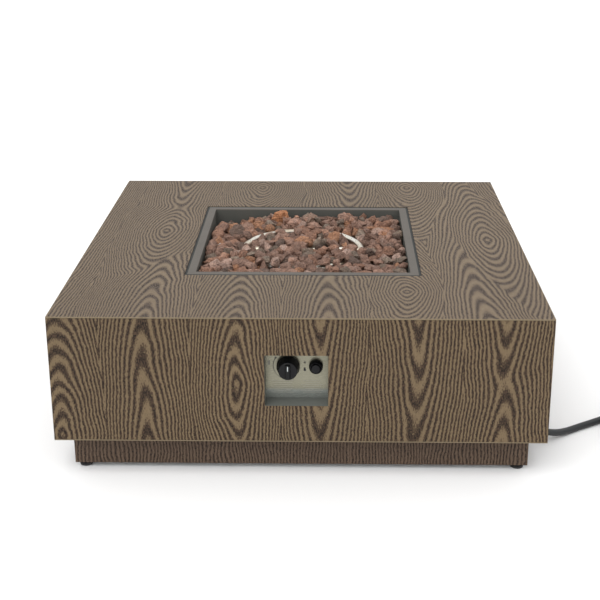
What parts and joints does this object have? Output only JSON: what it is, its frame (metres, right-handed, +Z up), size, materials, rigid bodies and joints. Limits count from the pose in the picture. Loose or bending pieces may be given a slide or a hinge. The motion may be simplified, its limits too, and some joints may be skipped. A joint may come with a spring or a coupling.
{
  "type": "gas fire pit table",
  "caption": "Low square gas fire pit table in wood-grain sheet metal: ring burner in lava rock, recessed control panel, recessed plinth, gas hose.",
  "frame": {"origin": "On the floor, under the middle of the table.", "axes": "+Z is up. The control panel faces -Y. +X is to the right of someone who looks at the panel, and the hose leaves that way."},
  "size_m": [1.4544, 1, 0.35],
  "materials": {
    "grain_casing": "embossed wood grain, satin, dark grain lines on a grey-tan ground",
    "grain_plinth": "embossed wood grain, satin, darker brown",
    "frame_steel": "black paint, matte",
    "galvanised": "zinc plated",
    "stud_zinc": "zinc plated thread",
    "foot_plastic": "black moulded, satin",
    "pan_paint": "heat-resistant grey-black paint, matte",
    "stainless": "drawn stainless tube, heat-tinted",
    "polished_plate": "polished stainless sheet with printed marks",
    "brass": "machined",
    "lava": "porous volcanic rock, rough",
    "ceramic": "glazed insulator",
    "copper": "copper and its wrap",
    "knob_plastic": "black moulded, glossy",
    "nut_plastic": "black moulded, matte",
    "pointer_white": "white line",
    "hose_rubber": "black, satin"
  },
  "bodies": {
    "table": {"top_panel": "grain_casing", "front_panel": "grain_casing", "right_panel": "grain_casing", "rear_panel": "grain_casing", "left_panel": "grain_casing", "soffit_panel": "grain_plinth", "front_plinth": "grain_plinth", "right_plinth": "grain_plinth", "rear_plinth": "grain_plinth", "left_plinth": "grain_plinth", "pan_rail_left": "frame_steel", "pan_rail_right": "frame_steel", "pan_rail_front": "frame_steel", "pan_rail_rear": "frame_steel", "corner_post_front_left": "galvanised", "corner_post_front_right": "galvanised", "corner_post_rear_right": "galvanised", "corner_post_rear_left": "galvanised", "base_plate": "galvanised", "burner_locknut": "galvanised", "valve_nut": "galvanised", "feed_pipe": "galvanised", "hose_ferrule": "galvanised", "regulator": "galvanised", "fire_pan": "pan_paint", "control_box": "pan_paint", "burner_ring": "stainless", "pilot_bracket": "stainless", "control_plate": "polished_plate", "air_mixer": "brass", "jet_elbow": "brass", "valve_body": "brass", "inlet_fitting": "brass", "bottle_connector": "brass", "lava_rock": "lava", "electrode": "ceramic", "thermocouple": "copper", "battery": "copper", "igniter_barrel": "knob_plastic", "inlet_hose": "hose_rubber", "igniter_lead": "hose_rubber", "hose_grommet": "hose_rubber", "gas_hose": "hose_rubber", "gas_hose_coil": "hose_rubber", "gas_hose_tail": "hose_rubber"},
    "valve_rotor": {"valve_rotor": "brass"},
    "knob": {"valve_stem": "galvanised", "control_knob": "knob_plastic", "knob_pointer": "pointer_white"},
    "igniter_cap": {"igniter_cap": "knob_plastic"},
    "igniter_button": {"igniter_button": "knob_plastic"},
    "bottle_nut": {"bottle_nut": "nut_plastic"},
    "foot_front_left": {"foot_pad_front_left": "foot_plastic", "foot_stud_front_left": "stud_zinc"},
    "foot_front_right": {"foot_pad_front_right": "foot_plastic", "foot_stud_front_right": "stud_zinc"},
    "foot_rear_right": {"foot_pad_rear_right": "foot_plastic", "foot_stud_rear_right": "stud_zinc"},
    "foot_rear_left": {"foot_pad_rear_left": "foot_plastic", "foot_stud_rear_left": "stud_zinc"}
  },
  "joints": [
    {"name": "knob_turn", "type": "hinge", "parent": "table", "child": "valve_rotor", "pos_m": [-0.025, -0.46, 0.231], "axis": [0, -1, 0], "range_deg": [0, 180]},
    {"name": "knob_push", "type": "slide", "parent": "valve_rotor", "child": "knob", "axis": [0, 1, 0], "range_m": [0, 0.004], "stiffness_N_per_m": 1500},
    {"name": "igniter_cap_off", "type": "slide", "parent": "table", "child": "igniter_cap", "axis": [0, -1, 0], "range_m": [0, 0.03]},
    {"name": "igniter_push", "type": "slide", "parent": "igniter_cap", "child": "igniter_button", "axis": [0, 1, 0], "range_m": [0, 0.0035], "stiffness_N_per_m": 1200},
    {"name": "bottle_nut_turn", "type": "hinge", "parent": "table", "child": "bottle_nut", "pos_m": [0.825, -0.152, 0.027], "axis": [0.8455, 0.534, 0], "continuous": true},
    {"name": "foot_height_front_left", "type": "slide", "parent": "table", "child": "foot_front_left", "axis": [0, 0, -1], "range_m": [0, 0.01]},
    {"name": "foot_height_front_right", "type": "slide", "parent": "table", "child": "foot_front_right", "axis": [0, 0, -1], "range_m": [0, 0.01]},
    {"name": "foot_height_rear_right", "type": "slide", "parent": "table", "child": "foot_rear_right", "axis": [0, 0, -1], "range_m": [0, 0.01]},
    {"name": "foot_height_rear_left", "type": "slide", "parent": "table", "child": "foot_rear_left", "axis": [0, 0, -1], "range_m": [0, 0.01]}
  ]
}
